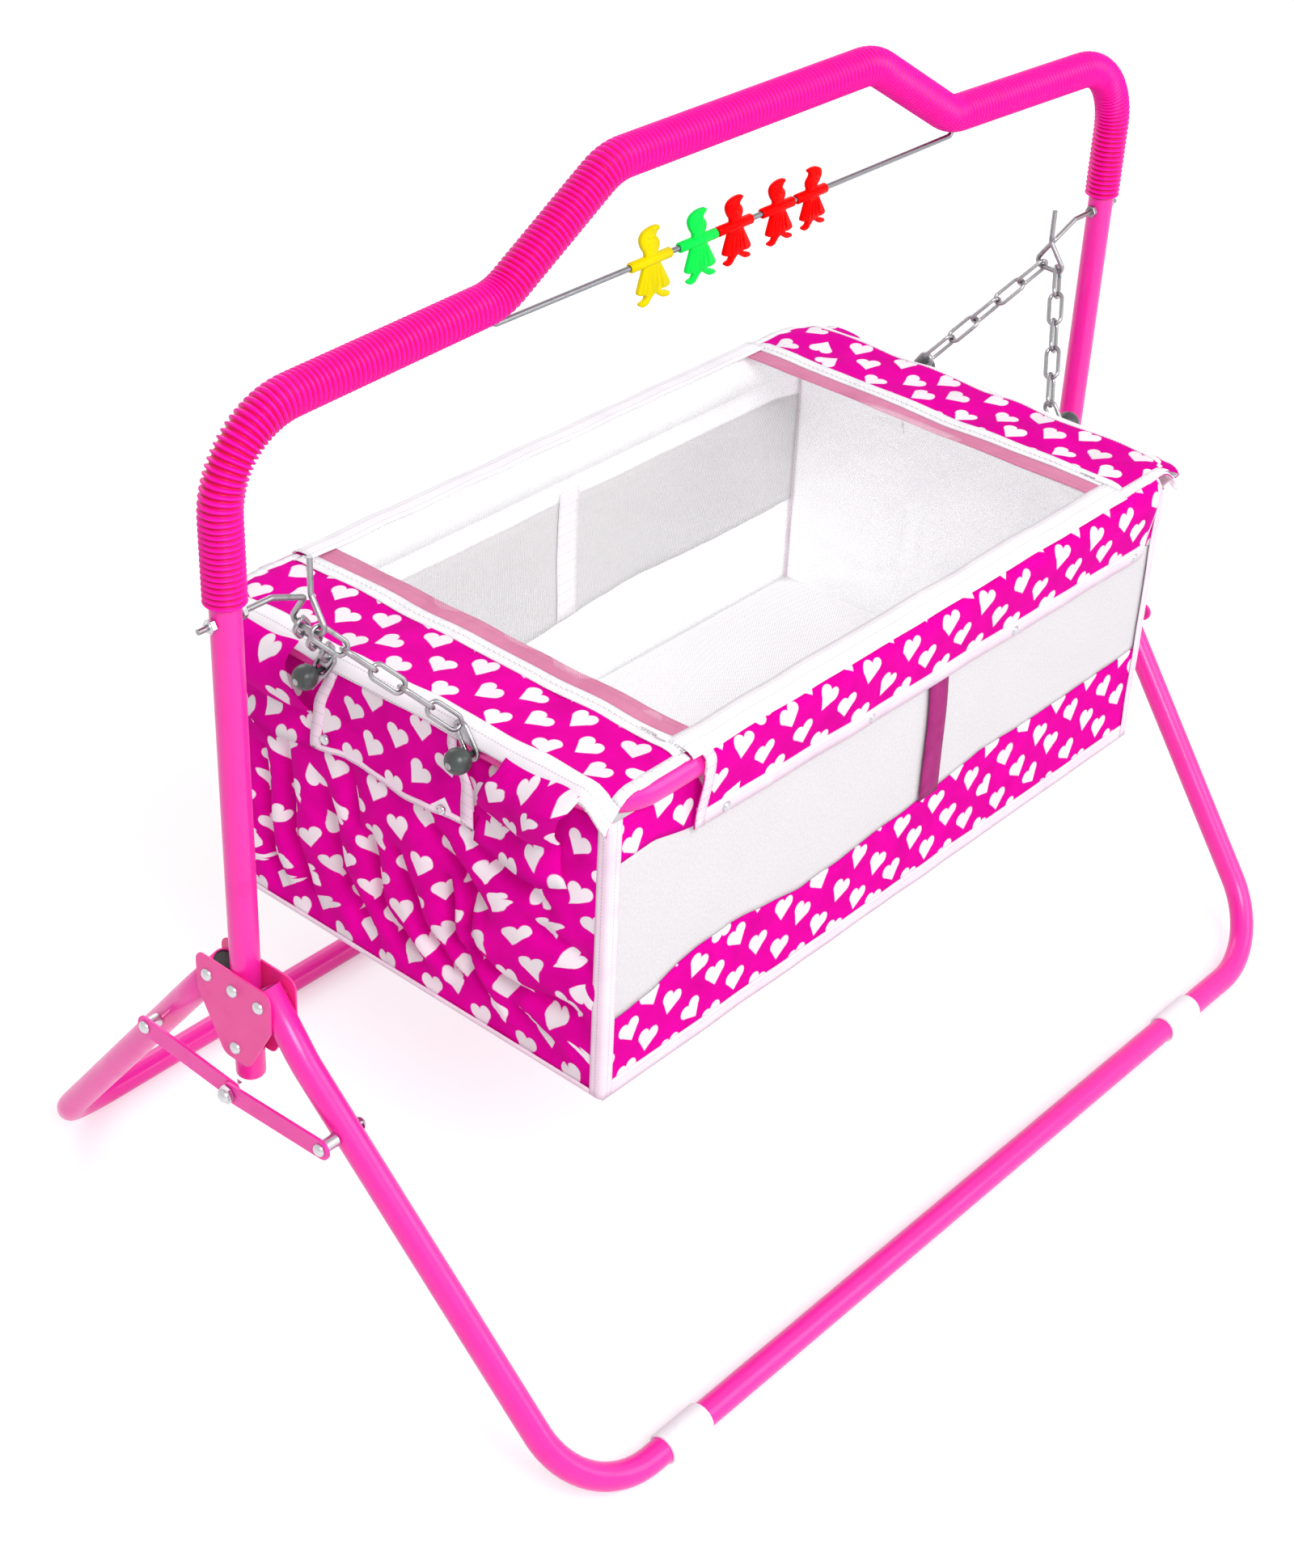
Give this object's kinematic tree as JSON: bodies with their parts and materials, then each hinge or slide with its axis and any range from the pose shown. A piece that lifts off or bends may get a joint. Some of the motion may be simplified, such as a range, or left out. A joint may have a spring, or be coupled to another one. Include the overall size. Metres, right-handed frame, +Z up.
{
  "type": "swing cradle",
  "caption": "Fabric basket with a zipped net cover, hung by chains from hooks on a folding tubular stand with a padded overhead arch and small toy figures on a wire.",
  "frame": {"origin": "on the floor under the middle of the cradle", "axes": "+X along the basket from its near end to its far end, -Y the long side seen in the picture, +Z up"},
  "size_m": [1.2504, 0.7436, 1.0235],
  "materials": {
    "tube_paint": "gloss",
    "bracket_paint": "satin",
    "rivet_steel": "satin",
    "chain_steel": "bright",
    "hook_steel": "bright",
    "wire_steel": "satin",
    "band_plastic": "matte",
    "knob_plastic": "gloss",
    "sleeve_plastic": "gloss",
    "bag_fabric": "printed",
    "pad_fabric": "soft",
    "net_fabric": "net",
    "yellow_plastic": "gloss",
    "green_plastic": "gloss",
    "red_plastic": "gloss"
  },
  "bodies": {
    "frame": {"upright_left": "tube_paint", "upright_right": "tube_paint", "arch_tube": "tube_paint", "arch_sleeve": "sleeve_plastic", "toy_wire": "wire_steel", "bracket_outer_left": "bracket_paint", "bracket_inner_left": "bracket_paint", "bracket_outer_right": "bracket_paint", "bracket_inner_right": "bracket_paint", "rivet_front_pivot_left": "rivet_steel", "rivet_back_pivot_left": "rivet_steel", "rivet_upright_top_left": "rivet_steel", "rivet_upright_low_left": "rivet_steel", "rivet_front_pivot_right": "rivet_steel", "rivet_back_pivot_right": "rivet_steel", "rivet_upright_top_right": "rivet_steel", "rivet_upright_low_right": "rivet_steel"},
    "front_leg": {"front_leg": "tube_paint", "foot_band_left": "band_plastic", "foot_band_right": "band_plastic", "front_brace_stud_left": "rivet_steel", "front_brace_stud_right": "rivet_steel"},
    "back_leg": {"back_leg": "tube_paint", "back_brace_stud_left": "rivet_steel", "back_brace_stud_right": "rivet_steel"},
    "front_brace_left": {"front_brace_left": "tube_paint", "centre_bolt_head_left": "rivet_steel"},
    "back_brace_left": {"back_brace_left": "tube_paint", "centre_bolt_nut_left": "rivet_steel"},
    "front_brace_right": {"front_brace_right": "tube_paint", "centre_bolt_head_right": "rivet_steel"},
    "back_brace_right": {"back_brace_right": "tube_paint", "centre_bolt_nut_right": "rivet_steel"},
    "basket": {"hook_left": "hook_steel", "hook_right": "hook_steel", "hook_nut_left": "hook_steel", "hook_nut_right": "hook_steel", "chain_front_left": "chain_steel", "chain_back_left": "chain_steel", "chain_front_right": "chain_steel", "chain_back_right": "chain_steel", "chain_bolt_front_left": "knob_plastic", "chain_bolt_back_left": "knob_plastic", "chain_bolt_front_right": "knob_plastic", "chain_bolt_back_right": "knob_plastic", "rim_ring": "tube_paint", "bag_side_front": "bag_fabric", "bag_side_back": "bag_fabric", "bag_end_left": "bag_fabric", "bag_end_right": "bag_fabric", "bag_floor": "bag_fabric", "floor_pad": "pad_fabric", "top_strip_left": "bag_fabric", "top_strip_right": "bag_fabric"},
    "net": {"net_cover": "net_fabric"},
    "toy_1": {"toy_figure_1": "yellow_plastic"},
    "toy_2": {"toy_figure_2": "green_plastic"},
    "toy_3": {"toy_figure_3": "red_plastic"},
    "toy_4": {"toy_figure_4": "red_plastic"},
    "toy_5": {"toy_figure_5": "red_plastic"}
  },
  "joints": [
    {"name": "front_leg_fold", "type": "hinge", "parent": "frame", "child": "front_leg", "pos_m": [0, -0.0315, 0.41], "axis": [1, 0, 0], "range_deg": [0, 36]},
    {"name": "back_leg_fold", "type": "hinge", "parent": "frame", "child": "back_leg", "pos_m": [0, 0.0315, 0.41], "axis": [1, 0, 0], "range_deg": [-36, 0]},
    {"name": "front_brace_left_fold", "type": "hinge", "parent": "front_leg", "child": "front_brace_left", "pos_m": [-0.58405, -0.11125, 0.313], "axis": [1, 0, 0], "range_deg": [-102.5, 0]},
    {"name": "front_brace_right_fold", "type": "hinge", "parent": "front_leg", "child": "front_brace_right", "pos_m": [0.58405, -0.11125, 0.313], "axis": [1, 0, 0], "range_deg": [-102.5, 0]},
    {"name": "back_brace_left_fold", "type": "hinge", "parent": "back_leg", "child": "back_brace_left", "pos_m": [-0.58408, 0.11153, 0.313], "axis": [1, 0, 0], "range_deg": [0, 102.4]},
    {"name": "back_brace_right_fold", "type": "hinge", "parent": "back_leg", "child": "back_brace_right", "pos_m": [0.58408, 0.11153, 0.313], "axis": [1, 0, 0], "range_deg": [0, 102.4]},
    {"name": "basket_swing", "type": "hinge", "parent": "frame", "child": "basket", "pos_m": [0, 0, 0.757], "axis": [1, 0, 0], "range_deg": [-20, 20]},
    {"name": "net_opening", "type": "hinge", "parent": "basket", "child": "net", "pos_m": [0, 0.2325, 0.6137], "axis": [1, 0, 0], "range_deg": [-30, 0]},
    {"name": "toy_1_spin", "type": "hinge", "parent": "frame", "child": "toy_1", "pos_m": [-0.118, 0, 0.9065], "axis": [1, 0, 0], "continuous": true},
    {"name": "toy_2_spin", "type": "hinge", "parent": "frame", "child": "toy_2", "pos_m": [-0.0575, 0, 0.9065], "axis": [1, 0, 0], "continuous": true},
    {"name": "toy_3_spin", "type": "hinge", "parent": "frame", "child": "toy_3", "pos_m": [-0.009, 0, 0.9065], "axis": [1, 0, 0], "continuous": true},
    {"name": "toy_4_spin", "type": "hinge", "parent": "frame", "child": "toy_4", "pos_m": [0.049, 0, 0.9065], "axis": [1, 0, 0], "continuous": true},
    {"name": "toy_5_spin", "type": "hinge", "parent": "frame", "child": "toy_5", "pos_m": [0.096, 0, 0.9065], "axis": [1, 0, 0], "continuous": true}
  ],
  "couplings": [
    {"joint": "back_leg_fold", "follows": "front_leg_fold", "ratio": -1},
    {"joint": "front_brace_left_fold", "follows": "front_leg_fold", "ratio": -2.845},
    {"joint": "front_brace_right_fold", "follows": "front_leg_fold", "ratio": -2.845},
    {"joint": "back_brace_left_fold", "follows": "front_leg_fold", "ratio": 2.8433},
    {"joint": "back_brace_right_fold", "follows": "front_leg_fold", "ratio": 2.8433}
  ]
}
